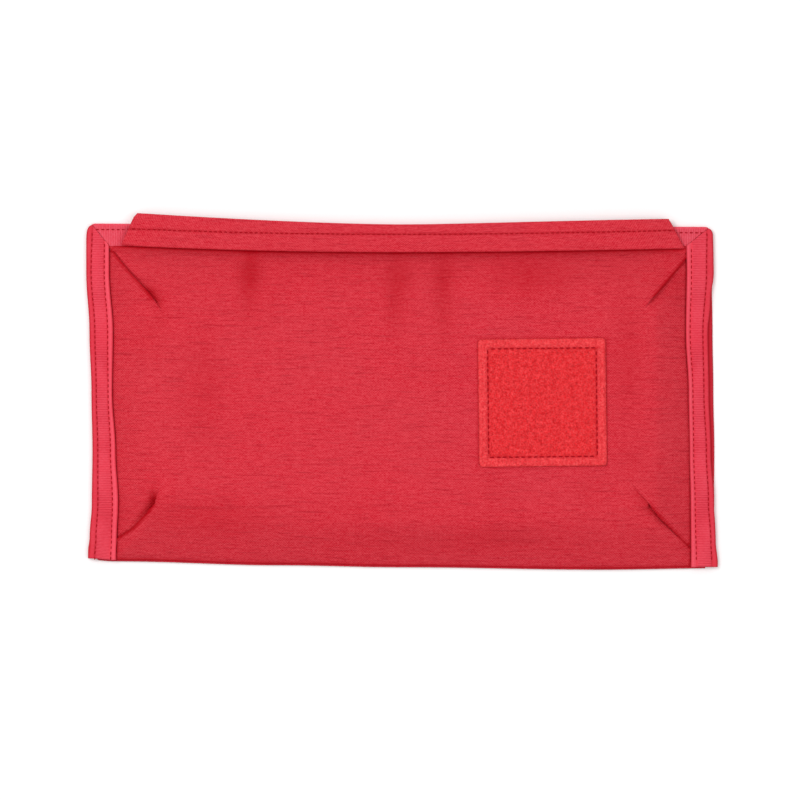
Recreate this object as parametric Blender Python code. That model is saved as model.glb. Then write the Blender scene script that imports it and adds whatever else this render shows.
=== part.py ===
"""Fire blanket in a soft cloth pouch, lying on its back.

A flat, stuffed pouch holds a folded glass-cloth blanket. The pouch has a back panel, a front panel
that is boxed over the blanket, tape bound round its edges and a square loop patch on its front.
Its mouth is along the top edge: the front panel's lip carries a header strip and closes on the
back panel with hook and loop. Metres, +X to the right, +Y towards the mouth, +Z out of the front.
"""
import math

import bmesh
import bpy

MM = 0.001

# Overall sizes of the pouch, seen from the front.
WIDTH = 314 * MM
HEIGHT = 170.5 * MM
CENTRE_Y = -1.75 * MM

# Cloth, tape and the gap that two sewn layers keep between their meshes.
CLOTH = 0.6 * MM
TAPE = 0.6 * MM
GAP = 0.3 * MM

# Bound edges.
TAPE_LEG = 12 * MM
PANEL_EDGE = 1.5 * MM
BACK_SLOPE = 6 * MM
BOTTOM_MARGIN = 8 * MM

# The folded blanket, a pack with round folded edges, and the spaces that it leaves in the pouch.
PACK_THICKNESS = 12.5 * MM
PACK_SIDE_SPACE = 35 * MM
PACK_REAR_SPACE = 30 * MM

# Front panel: how far its full height stands outside the pack, how far ahead of the pack its lip
# begins and how far the lip runs down to the header.
PACK_MARGIN = 2 * MM
BOTTOM_HEM = 1.5 * MM
LIP_START = 12 * MM
LIP_RUN = 25.5 * MM
LIP_SWING_GAP = 0.8 * MM

# Header strip on the lip.
HEADER_DEPTH = 15.5 * MM
HEADER_THICKNESS = 1.0 * MM
HEADER_LOWER_INSET = 16 * MM
HEADER_UPPER_INSET = 23.5 * MM

# Hook and loop closure under the header, and the loop patch on the front.
CLOSURE_END_INSET = 37 * MM
CLOSURE_DEPTH = 9 * MM
CLOSURE_THICKNESS = 0.8 * MM
CLOSURE_INSET = 1.8 * MM
PATCH_SIZE = 63.5 * MM
PATCH_THICKNESS = 1.6 * MM
PATCH_CORNER = 2 * MM
PATCH_FROM_RIGHT = 86.6 * MM
PATCH_BELOW_LIP = 19.55 * MM

# Pull tabs: doubled webbing on the pack's leading edge.
TAB_WIDTH = 25 * MM
TAB_END_SPACE = 7.5 * MM
TAB_END_LIFT = 0.5 * MM
TAB_THICKNESS = 2.6 * MM
TAB_OFFSET = 72 * MM

# Heights, each layer on the one below.
LEG_TOP = TAPE
FLANGE_BOTTOM = LEG_TOP + GAP
FLANGE_TOP = FLANGE_BOTTOM + CLOTH
FRONT_FLANGE_TOP = FLANGE_TOP + GAP + CLOTH
TOP_TAPE_TOP = FLANGE_TOP + GAP + TAPE
LOOP_STRIP_TOP = TOP_TAPE_TOP + GAP + CLOSURE_THICKNESS
BACK_MIDDLE_TOP = LOOP_STRIP_TOP
PACK_BOTTOM = BACK_MIDDLE_TOP + GAP
PACK_TOP = PACK_BOTTOM + PACK_THICKNESS
FRONT_TOP = PACK_TOP + GAP + CLOTH
HOOK_STRIP_TOP = LOOP_STRIP_TOP + GAP + CLOSURE_THICKNESS
LIP_FLANGE_TOP = HOOK_STRIP_TOP + GAP + CLOTH

# Places across the pouch.
OUTER_X = WIDTH / 2
TAPE_INNER_X = OUTER_X - TAPE_LEG
TOP_Y = CENTRE_Y + HEIGHT / 2
BOTTOM_Y = CENTRE_Y - HEIGHT / 2
PANEL_X = OUTER_X - TAPE - PANEL_EDGE
PANEL_TOP_Y = TOP_Y - TAPE - PANEL_EDGE
PACK_X = OUTER_X - PACK_SIDE_SPACE
HEADER_LOWER_Y = TOP_Y - TAPE_LEG
HEADER_TOP_Y = HEADER_LOWER_Y + HEADER_DEPTH
HINGE_Y = HEADER_LOWER_Y - LIP_RUN
PACK_LEAD_Y = HINGE_Y - LIP_START
PACK_REAR_Y = BOTTOM_Y + PACK_REAR_SPACE
FULL_X = PACK_X + PACK_MARGIN
FULL_REAR_Y = PACK_REAR_Y - PACK_MARGIN
TAB_LENGTH = HEADER_LOWER_Y - PACK_LEAD_Y - TAB_END_SPACE
TAB_FALL = PACK_THICKNESS / 2 + GAP - TAB_THICKNESS / 2 - TAB_END_LIFT
TAB_DROOP = math.asin(TAB_FALL / TAB_LENGTH)

# Faces along a sloping cloth, along a flat one and round a fold.
SLOPE_STEPS = 10
FLAT_STEPS = 6
FOLD_STEPS = 10

FRONT_RED = (0.68, 0.038, 0.055)
BACK_RED = (0.50, 0.022, 0.035)
TAPE_RED = (0.80, 0.06, 0.09)
HEADER_RED = (0.64, 0.030, 0.05)
LOOP_RED = (0.76, 0.032, 0.042)
HOOK_RED = (0.45, 0.02, 0.03)
GLASS_WHITE = (0.78, 0.76, 0.70)
WEBBING_BLACK = (0.03, 0.03, 0.035)


def clear_scene():
    for old in list(bpy.data.objects):
        bpy.data.objects.remove(old, do_unlink=True)


def material(name, colour, roughness=0.85):
    made = bpy.data.materials.new(name)
    made.use_nodes = True
    shader = made.node_tree.nodes["Principled BSDF"]
    shader.inputs["Base Color"].default_value = (*colour, 1.0)
    shader.inputs["Roughness"].default_value = roughness
    shader.inputs["Metallic"].default_value = 0.0
    return made


def add_object(name, bm, colour, location=(0, 0, 0), parent=None):
    bmesh.ops.recalc_face_normals(bm, faces=bm.faces)
    mesh = bpy.data.meshes.new(name)
    bm.to_mesh(mesh)
    bm.free()
    mesh.materials.append(material(name + "_material", colour))
    made = bpy.data.objects.new(name, mesh)
    bpy.context.scene.collection.objects.link(made)
    made.location = location
    if parent is not None:
        made.parent = parent
    return made


def add_empty(name, location):
    made = bpy.data.objects.new(name, None)
    made.location = location
    bpy.context.scene.collection.objects.link(made)
    return made


def steps(start, stop, count):
    return [start + (stop - start) * i / count for i in range(count + 1)]


def cloth_body(columns, rows, top, thickness):
    """A closed sheet on a grid of columns and rows, with top(x, y) as its upper face."""
    bm = bmesh.new()
    upper = [[bm.verts.new((x, y, top(x, y))) for x in columns] for y in rows]
    faces = []
    for low, high in zip(upper, upper[1:]):
        for i in range(len(columns) - 1):
            faces.append(bm.faces.new((low[i], low[i + 1], high[i + 1], high[i])))
    grown = bmesh.ops.extrude_face_region(bm, geom=faces, use_keep_orig=True)
    below = [item for item in grown["geom"] if isinstance(item, bmesh.types.BMVert)]
    bmesh.ops.translate(bm, verts=below, vec=(0, 0, -thickness))
    return bm


def prism(outline, bottom, thickness):
    """A flat outline in X and Y, raised from bottom by thickness."""
    bm = bmesh.new()
    base = bm.faces.new([bm.verts.new((x, y, bottom)) for x, y in outline])
    grown = bmesh.ops.extrude_face_region(bm, geom=[base], use_keep_orig=True)
    above = [item for item in grown["geom"] if isinstance(item, bmesh.types.BMVert)]
    bmesh.ops.translate(bm, verts=above, vec=(0, 0, thickness))
    return bm


def rectangle(left, right, low, high):
    return [(left, low), (right, low), (right, high), (left, high)]


def rise(distance, run):
    """0 at an edge and 1 once the run is behind it, steep first and level last."""
    share = min(max(distance / run, 0.0), 1.0)
    return math.sin(share * math.pi / 2)


def binding_profile(depth, inside):
    """Points of a tape folded round an edge: distance in from the fold, and height."""
    outer = inside / 2 + TAPE
    fold = steps(-math.pi / 2, math.pi / 2, FOLD_STEPS)
    outside = [(outer - outer * math.cos(a), outer + outer * math.sin(a)) for a in fold]
    inner = inside / 2
    lining = [(outer - inner * math.cos(a), outer + inner * math.sin(a)) for a in reversed(fold)]
    return ([(depth, 0.0)] + outside + [(depth, 2 * outer), (depth, 2 * outer - TAPE)]
            + lining + [(depth, TAPE)])


def sweep(points_at_start, points_at_end):
    """A closed body between two matching rings of points."""
    bm = bmesh.new()
    start = [bm.verts.new(p) for p in points_at_start]
    end = [bm.verts.new(p) for p in points_at_end]
    bm.faces.new(start)
    bm.faces.new(end)
    for i in range(len(start)):
        j = (i + 1) % len(start)
        bm.faces.new((start[i], start[j], end[j], end[i]))
    return bm


def back_panel():
    """Back cloth: bound margins on the tape's lower leg, and a middle level with the mouth's sill."""
    clear = TAPE_LEG + GAP

    def top(x, y):
        near = min(OUTER_X - abs(x) - clear, TOP_Y - y - clear, y - BOTTOM_Y - BOTTOM_MARGIN)
        share = min(max(near / BACK_SLOPE, 0.0), 1.0)
        return FLANGE_TOP + (BACK_MIDDLE_TOP - FLANGE_TOP) * share

    inner = OUTER_X - clear
    half = [PANEL_X, inner, *steps(inner - BACK_SLOPE, 0, FLAT_STEPS)]
    columns = sorted({*half, *[-x for x in half]})
    rows = [BOTTOM_Y, BOTTOM_Y + BOTTOM_MARGIN]
    rows += steps(BOTTOM_Y + BOTTOM_MARGIN + BACK_SLOPE, TOP_Y - clear - BACK_SLOPE, FLAT_STEPS)
    rows += [TOP_Y - clear, PANEL_TOP_Y]
    add_object("back_panel", cloth_body(columns, rows, top, CLOTH), BACK_RED)


def front_panel():
    """Front cloth: sewn flat at the sides and the bottom, boxed over the pack up to the lip."""
    edge_x = TAPE_INNER_X - GAP
    edge_y = BOTTOM_Y + BOTTOM_HEM

    def top(x, y):
        side = rise(edge_x - abs(x), edge_x - FULL_X)
        bottom = rise(y - edge_y, FULL_REAR_Y - edge_y)
        return FRONT_FLANGE_TOP + (FRONT_TOP - FRONT_FLANGE_TOP) * min(side, bottom)

    half = [PANEL_X, *steps(edge_x, FULL_X, SLOPE_STEPS)]
    half += steps(FULL_X, 0, FLAT_STEPS)[1:]
    columns = sorted({*half, *[-x for x in half]})
    rows = [BOTTOM_Y, *steps(edge_y, FULL_REAR_Y, SLOPE_STEPS)]
    rows += steps(FULL_REAR_Y, HINGE_Y - GAP / 2, FLAT_STEPS)[1:]
    add_object("front_panel", cloth_body(columns, rows, top, CLOTH), FRONT_RED)


def lip_cloth(hinge):
    """The front cloth's top margin, which swings up to open the mouth."""
    edge_x = TAPE_INNER_X - 2 * GAP

    def top(x, y):
        share = (y - HINGE_Y) / LIP_RUN
        middle = LIP_FLANGE_TOP + (FRONT_TOP - LIP_FLANGE_TOP) * math.cos(share * math.pi / 2)
        side = rise(edge_x - abs(x), edge_x - FULL_X)
        return FRONT_FLANGE_TOP + (middle - FRONT_FLANGE_TOP) * side

    half = [*steps(edge_x, FULL_X, SLOPE_STEPS), *steps(FULL_X, 0, FLAT_STEPS)[1:]]
    columns = sorted({*half, *[-x for x in half]})
    rows = steps(HINGE_Y + GAP / 2, HEADER_LOWER_Y - LIP_SWING_GAP, SLOPE_STEPS)
    bm = cloth_body(columns, rows, top, CLOTH)
    bmesh.ops.translate(bm, verts=bm.verts, vec=-hinge.location)
    add_object("front_panel_lip", bm, FRONT_RED, parent=hinge)


def header_strip(hinge):
    """Band along the lip's edge, shorter at its top so that its ends slant."""
    low = OUTER_X - HEADER_LOWER_INSET
    high = OUTER_X - HEADER_UPPER_INSET
    outline = [(-low, HEADER_LOWER_Y), (low, HEADER_LOWER_Y),
               (high, HEADER_TOP_Y), (-high, HEADER_TOP_Y)]
    bm = prism(outline, HOOK_STRIP_TOP + GAP, CLOTH + GAP + HEADER_THICKNESS)
    edges = [e for e in bm.edges if abs(e.verts[0].co.z - e.verts[1].co.z) < HEADER_THICKNESS / 2]
    bmesh.ops.bevel(bm, geom=edges, offset=HEADER_THICKNESS / 2, segments=2, profile=0.5,
                    affect="EDGES", material=-1)
    bmesh.ops.translate(bm, verts=bm.verts, vec=-hinge.location)
    add_object("header_strip", bm, HEADER_RED, parent=hinge)


def closure_strips(hinge):
    """Hook strip under the header and loop strip on the top tape, face to face."""
    low = HEADER_LOWER_Y + CLOSURE_INSET
    half = OUTER_X - CLOSURE_END_INSET
    outline = rectangle(-half, half, low, low + CLOSURE_DEPTH)
    bm = prism(outline, LOOP_STRIP_TOP - CLOSURE_THICKNESS, CLOSURE_THICKNESS)
    add_object("closure_loop_strip", bm, LOOP_RED)
    bm = prism(outline, HOOK_STRIP_TOP - CLOSURE_THICKNESS, CLOSURE_THICKNESS)
    bmesh.ops.translate(bm, verts=bm.verts, vec=-hinge.location)
    add_object("closure_hook_strip", bm, HOOK_RED, parent=hinge)


def side_bindings():
    """Tape folded over both panels' side edges, cut off square below and mitred above."""
    profile = binding_profile(TAPE_LEG, FRONT_FLANGE_TOP - FLANGE_BOTTOM + 2 * GAP)
    for name, side in (("left_binding", -1), ("right_binding", 1)):
        start = [(side * (OUTER_X - d), BOTTOM_Y, z) for d, z in profile]
        end = [(side * (OUTER_X - d), TOP_Y - d - GAP, z) for d, z in profile]
        add_object(name, sweep(start, end), TAPE_RED)


def top_binding():
    """Tape folded over the back panel's top edge, mitred into the side tapes."""
    profile = binding_profile(TAPE_LEG, CLOTH + 2 * GAP)
    start = [(-(OUTER_X - d - GAP), TOP_Y - d, z) for d, z in profile]
    end = [(OUTER_X - d - GAP, TOP_Y - d, z) for d, z in profile]
    add_object("top_binding", sweep(start, end), TAPE_RED)


def loop_patch():
    """Square loop patch, sewn flat on the middle of the front's right half."""
    half = PATCH_SIZE / 2
    bm = prism(rectangle(-half, half, -half, half), 0, PATCH_THICKNESS)
    corners = [e for e in bm.edges if abs(e.verts[0].co.z - e.verts[1].co.z) > PATCH_THICKNESS / 2]
    bmesh.ops.bevel(bm, geom=corners, offset=PATCH_CORNER, segments=4, profile=0.5,
                    affect="EDGES", material=-1)
    place = (OUTER_X - PATCH_FROM_RIGHT, HINGE_Y - PATCH_BELOW_LIP - half, FRONT_TOP + GAP)
    add_object("loop_patch", bm, LOOP_RED, location=place)


def blanket(slide):
    """The folded blanket as a plain pack with half-round leading and trailing folds."""
    radius = PACK_THICKNESS / 2
    middle = PACK_BOTTOM + radius
    lead = [(PACK_LEAD_Y - radius + radius * math.cos(a), middle + radius * math.sin(a))
            for a in steps(-math.pi / 2, math.pi / 2, FOLD_STEPS)]
    rear = [(PACK_REAR_Y + radius - radius * math.cos(a), middle - radius * math.sin(a))
            for a in steps(-math.pi / 2, math.pi / 2, FOLD_STEPS)]
    origin_y, origin_z = slide.location[1], slide.location[2]
    ring = [(y - origin_y, z - origin_z) for y, z in lead + rear]
    bm = sweep([(-PACK_X, y, z) for y, z in ring], [(PACK_X, y, z) for y, z in ring])
    add_object("blanket", bm, GLASS_WHITE, parent=slide)


def pull_tabs(slide):
    """Two doubled webbing tabs on the pack's leading edge, inside the mouth."""
    along = (math.cos(TAB_DROOP), -math.sin(TAB_DROOP))
    across = (math.sin(TAB_DROOP), math.cos(TAB_DROOP))
    start = GAP + TAB_THICKNESS / 2 * math.sin(TAB_DROOP)
    half = TAB_THICKNESS / 2
    turn = steps(-math.pi / 2, math.pi / 2, FOLD_STEPS)
    section = [(start, -half)]
    section += [(TAB_LENGTH - half + half * math.cos(a), half * math.sin(a)) for a in turn]
    section += [(start, half)]
    for name, side in (("left_pull_tab", -1), ("right_pull_tab", 1)):
        ring = [(a * along[0] + b * across[0], a * along[1] + b * across[1]) for a, b in section]
        left = side * TAB_OFFSET - TAB_WIDTH / 2
        right = side * TAB_OFFSET + TAB_WIDTH / 2
        bm = sweep([(left, y, z) for y, z in ring], [(right, y, z) for y, z in ring])
        add_object(name, bm, WEBBING_BLACK, parent=slide)


def build():
    clear_scene()
    back_panel()
    front_panel()
    side_bindings()
    top_binding()
    loop_patch()
    hinge = add_empty("lip_hinge", (0, HINGE_Y, FRONT_TOP))
    lip_cloth(hinge)
    header_strip(hinge)
    closure_strips(hinge)
    slide = add_empty("blanket_slide", (0, PACK_LEAD_Y, PACK_BOTTOM + PACK_THICKNESS / 2))
    blanket(slide)
    pull_tabs(slide)


build()
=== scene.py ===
"""Looks of a fire blanket's red cloth pouch, lying on its back, with the folded blanket inside it."""
import math
import random

import bmesh
import bpy
from mathutils import Matrix, Vector, noise


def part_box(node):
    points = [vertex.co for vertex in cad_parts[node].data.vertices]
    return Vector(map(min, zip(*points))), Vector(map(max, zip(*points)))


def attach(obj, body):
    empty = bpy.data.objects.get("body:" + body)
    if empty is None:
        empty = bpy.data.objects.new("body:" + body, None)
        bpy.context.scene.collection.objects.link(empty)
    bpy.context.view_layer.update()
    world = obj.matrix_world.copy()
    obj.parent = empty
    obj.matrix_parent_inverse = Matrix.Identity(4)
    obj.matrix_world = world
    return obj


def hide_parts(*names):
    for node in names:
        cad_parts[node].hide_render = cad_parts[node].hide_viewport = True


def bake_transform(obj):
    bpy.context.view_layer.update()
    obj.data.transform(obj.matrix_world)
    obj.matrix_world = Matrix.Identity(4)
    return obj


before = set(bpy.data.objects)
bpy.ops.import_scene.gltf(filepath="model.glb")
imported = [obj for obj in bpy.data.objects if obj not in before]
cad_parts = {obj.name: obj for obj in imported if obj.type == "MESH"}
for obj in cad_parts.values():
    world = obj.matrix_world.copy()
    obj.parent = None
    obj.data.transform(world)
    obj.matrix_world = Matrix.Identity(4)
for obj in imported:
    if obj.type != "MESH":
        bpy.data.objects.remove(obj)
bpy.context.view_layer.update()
mm = 0.001

# ---- Studio ----
# A plain white table under a soft dome of light, with a large lamp overhead on the left, a fainter one
# on the right and the camera straight above the pouch's front.
scene = bpy.context.scene
scene.view_settings.view_transform = "Standard"

LENS = 200
FIELD = 400 * mm
aim = Vector((-0.75 * mm, -4 * mm, 3 * mm))
camera = bpy.data.objects.new("camera", bpy.data.cameras.new("camera"))
camera.data.lens = LENS
camera.data.clip_start = 0.01
camera.location = aim + Vector((0, 0, FIELD * LENS / camera.data.sensor_width))
scene.collection.objects.link(camera)
scene.camera = camera


def soft_light(name, place, size, power):
    lamp = bpy.data.objects.new(name, bpy.data.lights.new(name, "AREA"))
    lamp.data.shape = "DISK"
    lamp.data.size = size
    lamp.data.energy = power
    lamp.location = place
    lamp.rotation_euler = (-Vector(place)).to_track_quat("-Z", "Y").to_euler()
    scene.collection.objects.link(lamp)


soft_light("key", (-0.60, 0.34, 1.30), 0.7, 8.4)
soft_light("fill", (0.75, -0.12, 1.35), 0.9, 4.0)
scene.world = bpy.data.worlds.new("dome")
scene.world.use_nodes = True
scene.world.node_tree.nodes["Background"].inputs["Color"].default_value = (1, 1, 1, 1)
scene.world.node_tree.nodes["Background"].inputs["Strength"].default_value = 0.72


def keep(bm, name, material, body=None):
    """Turns a finished bmesh into a piece at the origin that rides on a body."""
    mesh = bpy.data.meshes.new(name)
    bm.to_mesh(mesh)
    bm.free()
    mesh.materials.append(material)
    for polygon in mesh.polygons:
        polygon.use_smooth = True
    piece = bpy.data.objects.new(name, mesh)
    scene.collection.objects.link(piece)
    if body is not None:
        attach(piece, body)
    return piece


class Shader:
    """One material's node tree, with every node made by the same method."""

    def __init__(self, name):
        self.material = bpy.data.materials.new(name)
        self.material.use_nodes = True
        self.tree = self.material.node_tree
        self.surface = self.tree.nodes["Principled BSDF"]

    def node(self, kind, settings=None, out=0, **sockets):
        made = self.tree.nodes.new("ShaderNode" + kind)
        for name, value in (settings or {}).items():
            setattr(made, name, value)
        for name, value in sockets.items():
            self.link(made.inputs[int(name[1:]) if name[1:].isdigit() else name.replace("_", " ")], value)
        return Value(self, made.outputs[out])

    def link(self, socket, value):
        if isinstance(value, Value):
            self.tree.links.new(value.socket, socket)
        else:
            socket.default_value = value

    def mix(self, first, second, share):
        """Colour between two colours, by a share that may vary."""
        return self.node("Mix", {"data_type": "RGBA"}, out=2, s0=share, s6=first, s7=second)

    def set(self, **sockets):
        for name, value in sockets.items():
            self.link(self.surface.inputs[name.replace("_", " ")], value)


class Value:
    """A socket that takes part in Python arithmetic by adding Math nodes."""

    def __init__(self, shader, socket):
        self.shader = shader
        self.socket = socket

    def math(self, operation, first, second=0.0):
        return self.shader.node("Math", {"operation": operation}, s0=first, s1=second)

    def __add__(self, other):
        return self.math("ADD", self, other)

    def __radd__(self, other):
        return self.math("ADD", other, self)

    def __sub__(self, other):
        return self.math("SUBTRACT", self, other)

    def __rsub__(self, other):
        return self.math("SUBTRACT", other, self)

    def __mul__(self, other):
        return self.math("MULTIPLY", self, other)

    def __rmul__(self, other):
        return self.math("MULTIPLY", other, self)

    def sine(self):
        return self.math("SINE", self)

    def clamp(self, low, high):
        """0 below low, 1 above high and a straight line between them."""
        settings = {"clamp": True}
        return self.shader.node("MapRange", settings, Value=self, From_Min=low, From_Max=high)


table = bmesh.new()
bmesh.ops.create_grid(table, x_segments=1, y_segments=1, size=3)
white = Shader("white_table")
white.set(Base_Color=(0.93, 0.93, 0.93, 1), Roughness=0.9)
keep(table, "table", white.material)


# ---- Front panel ----
# One piece of slubbed plain-weave cloth, sewn into the edge tapes and boxed over the folded blanket.
# Its spare cloth is pleated in at the four corners. Its top margin is the lip of the mouth.
RED = (0.525, 0.0045, 0.018, 1)
DEEP_RED = (0.28, 0.001, 0.009, 1)
# The next colour is painted shade: the cloth is mixed towards it in creases, at seams and in grooves.
PAINTED_SHADE_RED = (0.40, 0.0006, 0.006, 1)
PALE_RED = (0.76, 0.070, 0.092, 1)
CLOTH = 0.45 * mm

fixed_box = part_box("front_panel")
lip_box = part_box("front_panel_lip")
pack_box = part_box("blanket")
front_top = fixed_box[1][2]
hinge_y = lip_box[0][1]
full_x = pack_box[1][0] + 1.5 * mm
full_y = pack_box[0][1] - 1.0 * mm
flange_top = 2.4 * mm
header_bottom = 4.9 * mm
VALLEY = 3.9 * mm

# The patch's place: the cloth is calmer under it and shaded round its edge.
patch_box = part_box("loop_patch")
patch_half = (patch_box[1][0] - patch_box[0][0]) / 2
patch_x = (patch_box[0][0] + patch_box[1][0]) / 2 - 0.4 * mm
patch_y = (patch_box[0][1] + patch_box[1][1]) / 2


def between(share, low, high):
    """Smooth step from 0 at low to 1 at high."""
    share = min(max((share - low) / (high - low), 0.0), 1.0)
    return share * share * (3 - 2 * share)


def through(points, at):
    """A smooth line through a few (place, value) points, level beyond its ends, all in millimetres."""
    at /= mm
    if at <= points[0][0]:
        return points[0][1] * mm
    for (start, first), (stop, second) in zip(points, points[1:]):
        if at <= stop:
            share = (1 - math.cos(math.pi * (at - start) / (stop - start))) / 2
            return (first + (second - first) * share) * mm
    return points[-1][1] * mm


# Lines down the left (-1) and right (1) side tapes, in millimetres from the middle at heights along:
# the outer edge, the two rows of stitches, the inner edge and the fold's lower half.
SIDE_LINES = {
    -1: {"outer": ((-84, 156.6), (-75, 155.8), (-55, 154.7), (-30, 154.4), (0, 154.9), (30, 155.9),
                   (60, 157.5), (76, 157.5), (84, 157)),
         "outer_row": ((-84, 153.4), (-75, 152.8), (-55, 151.8), (-30, 151.8), (0, 152.6), (30, 153.3),
                       (60, 155.2), (84, 154.6)),
         "inner_row": ((-84, 145.4), (-75, 145), (-55, 144.5), (-30, 145.5), (0, 146.7), (30, 146.9),
                       (60, 148.6), (84, 148.4)),
         "inner": ((-84, 142.8), (-75, 142.4), (-55, 141.7), (-30, 143), (0, 144.7), (30, 144.3),
                   (60, 146.2), (84, 146.2)),
         "lower": ((-84, 0), (84, 0))},
    1: {"outer": ((-86, 158), (-75, 157), (-55, 156.3), (-30, 154.8), (0, 153.8), (30, 153.3), (45, 154.6),
                  (60, 156), (84, 155.6)),
        "outer_row": ((-86, 155.2), (-75, 154.7), (-55, 153.5), (-30, 152.4), (0, 151.2), (30, 150.7),
                      (60, 152.5), (84, 152.8)),
        "inner_row": ((-86, 147.4), (-55, 146.8), (-30, 146.1), (0, 145.7), (30, 144.3), (60, 145),
                      (84, 144.8)),
        "inner": ((-86, 144.8), (-55, 144.6), (-30, 144.1), (0, 143.6), (30, 142.2), (60, 142.6),
                  (84, 142.3)),
        "lower": ((-80, 156.2), (-50, 156.8), (-30, 156.9), (0, 156.4), (30, 156), (60, 155.6), (84, 155))},
}


def side_line(side, name, along):
    return through(SIDE_LINES[side][name], along)


def seam_line(x, y):
    """How far out the front cloth goes under a side tape."""
    return side_line(-1 if x < 0 else 1, "inner", y)


def swell(x, y, centre, half):
    """A soft round hump of height 1 at a centre, with its half sizes across and along."""
    across = (x / mm - centre[0]) / half[0]
    along = (y / mm - centre[1]) / half[1]
    return math.exp(-across * across - along * along)


# Each corner pleat runs from the tape inwards, in millimetres. The cloth on its right, as it runs,
# lies over the cloth on its left, which is let down by the depth.
PLEATS = (
    (((-145, 70.8), (-136.5, 60.6), (-128.5, 51.8), (-123.3, 46.2), (-119, 40)), 3.4),
    (((142.6, 67.7), (133.5, 57), (125.6, 48), (121, 42)), 2.0),
    (((-142, -73.4), (-133.5, -68.1), (-127, -61.2), (-122.6, -55.6), (-120.5, -48)), 4.6),
    (((144.6, -78.4), (137, -70.6), (129, -62.7), (123.3, -55.8), (113, -44)), 3.2),
)


def nearest_pleat(x, y):
    """Signed distance across the nearest pleat, its share along, its depth and its run's direction."""
    best = None
    for points, depth in PLEATS:
        if abs(x / mm - points[2][0]) > 34 or abs(y / mm - points[2][1]) > 34:
            continue
        for i, (start, stop) in enumerate(zip(points, points[1:])):
            a = Vector(start) * mm
            run = Vector(stop) * mm - a
            offset = Vector((x, y)) - a
            share = min(max(offset.dot(run) / run.length_squared, 0.0), 1.0)
            left = (run.x * offset.y - run.y * offset.x) / run.length
            gap = (offset - run * share).length
            if best is None or gap < best[0]:
                best = (gap, math.copysign(gap, left), (i + share) / (len(points) - 1), depth, run)
    return best and best[1:]


def pleat_height(x, y):
    """How far a pleat lifts or lowers the cloth at a point."""
    found = nearest_pleat(x, y)
    if not found:
        return 0.0
    left, along, depth, run = found
    strength = (0.38 + 0.62 * between(along, 0.15, 0.6)) * (1 - between(along, 0.74, 1.0)) * depth * mm
    if left <= 0:
        return 0.3 * strength * math.exp(left / (4 * mm))
    width = (0.9 + 4.2 * along) * mm
    return -strength * math.exp(-(left / width) ** 1.2)


def pleat_shift(x, y):
    """How far the cloth is drawn to a pleat's line at a point, and its two edges over each other."""
    found = nearest_pleat(x, y)
    if not found:
        return Vector((0, 0))
    left, along, depth, run = found
    fade = 1 - between(along, 0.6, 0.85)
    drawn = 0.0
    if abs(left) < 1.5 * mm:
        drawn = math.copysign(1.5 * mm * (abs(left) / (1.5 * mm)) ** 2.2, left) - left
    over = math.copysign(0.6 * mm, -left) * math.exp(-(left / (1.8 * mm)) ** 2) * fade
    return Vector((-run.y, run.x)).normalized() * (drawn + over)


def pleat_shade(x, y):
    """Share of painted shade in a pleat: a line along its fold and a soft patch beside it."""
    found = nearest_pleat(x, y)
    if not found:
        return 0.0
    left, along, depth, run = found
    fade = 1 - between(along, 0.8, 1.0)
    line = math.exp(-(left / (0.68 * mm)) ** 2) * (1 - between(along, 0.6, 0.85))
    if left < 0:
        return line
    width = (0.7 + 3.0 * along) * mm
    return max(line, 0.15 * depth * between(along, 0.15, 0.7) * fade * math.exp(-(left / width) ** 1.5))


def slope(distance, run, rounding=1.6):
    """A cloth's rise from a seam to the pack: steep at the seam and rounded over at the top."""
    share = min(max(distance / run, 0.0), 1.0)
    return 1 - (1 - share) ** rounding


def lower_of(first, second, rounding=0.14):
    """The smaller of two shares, with the ridge between them rounded off."""
    meet = max(rounding - abs(first - second), 0.0) / rounding
    return min(first, second) - meet * meet * rounding / 4


# Soft folds over the pack, in millimetres: centre across and along, half sizes and height.
FOLDS = (
    (-76, 58, 5, 20, -2.1), (-63, 56, 6, 17, 1.1), (-3, 50, 5, 20, -1.6), (9, 54, 6, 16, 0.9),
    (21, 48, 5, 22, -1.5), (35, 52, 6, 18, 1.0), (62, 57, 8, 13, -1.2), (-112, 18, 8, 36, 1.0),
    (-98, 4, 10, 30, -1.0), (-100, -60, 34, 8, -1.1), (-60, -50, 30, 7, 0.6), (112, 16, 8, 34, -1.0),
    (20, -66, 60, 7, 0.8), (30, -76, 70, 6, -0.7), (96, -56, 16, 10, 0.8), (-30, 62, 16, 8, 0.6),
)


def bottom_edge(x):
    return through(((-156, -83.2), (-144, -84), (-60, -86), (0, -87), (100, -88.2), (157, -87.5)), x)


def header_lower(x):
    share = x / (140 * mm)
    return (69.75 + (2.5 - 0.75 * share) * share * share) * mm


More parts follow.
